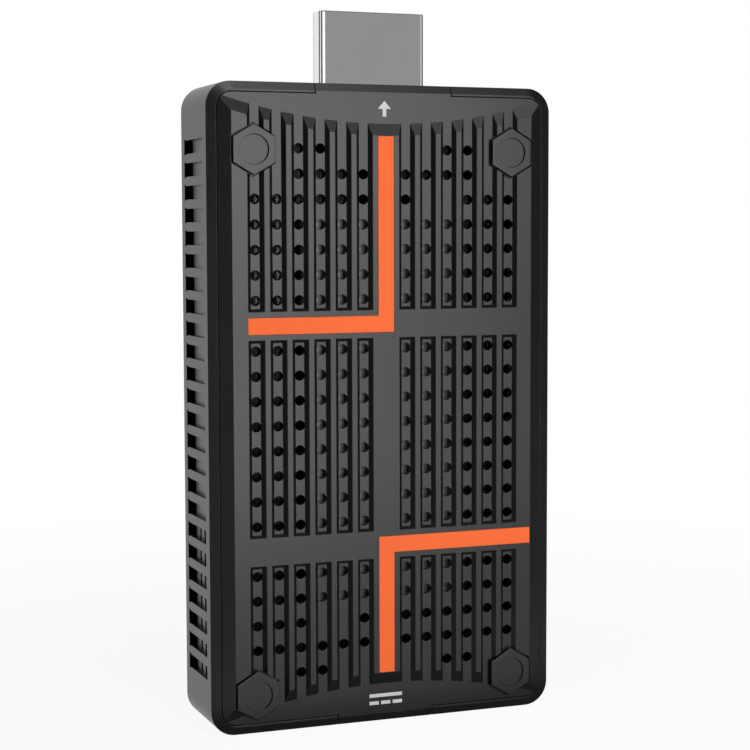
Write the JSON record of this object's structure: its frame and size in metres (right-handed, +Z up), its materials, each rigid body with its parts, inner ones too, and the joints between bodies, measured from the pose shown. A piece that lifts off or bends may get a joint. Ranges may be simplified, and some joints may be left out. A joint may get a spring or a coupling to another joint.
{
  "type": "wireless video transmitter",
  "caption": "Slim upright wireless video transmitter: ribbed, vented case with striped front, slotted sides, corner caps, a video plug on top and a power inlet below.",
  "frame": {"origin": "bottom centre of the whole object's box, below the middle of the end with the power inlet", "axes": "+X to the right seen from the front, +Y towards the flat back, +Z up along the case towards the video plug's tip"},
  "size_m": [0.0454, 0.0126, 0.0888],
  "materials": {
    "case_plastic": "satin",
    "cover_plastic": "satin",
    "stripe_plastic": "satin",
    "cap_plastic": "satin",
    "button_plastic": "satin",
    "clear_plastic": "clear, glossy",
    "insulator": "matte",
    "plug_steel": "bright, finely brushed",
    "inlet_steel": "bright, finely brushed",
    "screw_steel": "zinc plated",
    "can_steel": "tin plated",
    "spring_steel": "tin plated",
    "spreader_metal": "dark anodised",
    "contact_gold": "thin gold plate",
    "board": "solder mask",
    "chip": "moulded",
    "ferrite": "sintered",
    "ceramic": "fired",
    "switch_plastic": "moulded",
    "led": "clear",
    "pad": "soft"
  },
  "bodies": {
    "case": {"antenna_left": "spring_steel", "antenna_right": "spring_steel", "back_shell": "case_plastic", "case_screws": "screw_steel", "corner_cap_bottom_left": "cap_plastic", "corner_cap_bottom_right": "cap_plastic", "corner_cap_top_left": "cap_plastic", "corner_cap_top_right": "cap_plastic", "crystal": "can_steel", "filter_capacitors": "ceramic", "front_cover": "cover_plastic", "heat_spreader": "spreader_metal", "inlet_contacts": "contact_gold", "inlet_shell": "inlet_steel", "inlet_tongue": "insulator", "light_pipe": "clear_plastic", "lower_stripe": "stripe_plastic", "main_board": "board", "memory_chip": "chip", "pairing_switch": "switch_plastic", "plug_contacts": "contact_gold", "plug_core": "insulator", "plug_shell": "plug_steel", "power_chip": "chip", "power_inductor": "ferrite", "processor": "chip", "radio_chip": "chip", "radio_shield": "can_steel", "status_light": "led", "storage_chip": "chip", "thermal_pad": "pad", "upper_stripe": "stripe_plastic"},
    "button": {"pairing_button": "button_plastic", "switch_plunger": "switch_plastic"}
  },
  "joints": [
    {"name": "pairing_button_press", "type": "slide", "parent": "case", "child": "button", "axis": [0, 0, 1], "range_m": [0, 0.0003], "stiffness_N_per_m": 800, "springref_m": -0.0003}
  ]
}
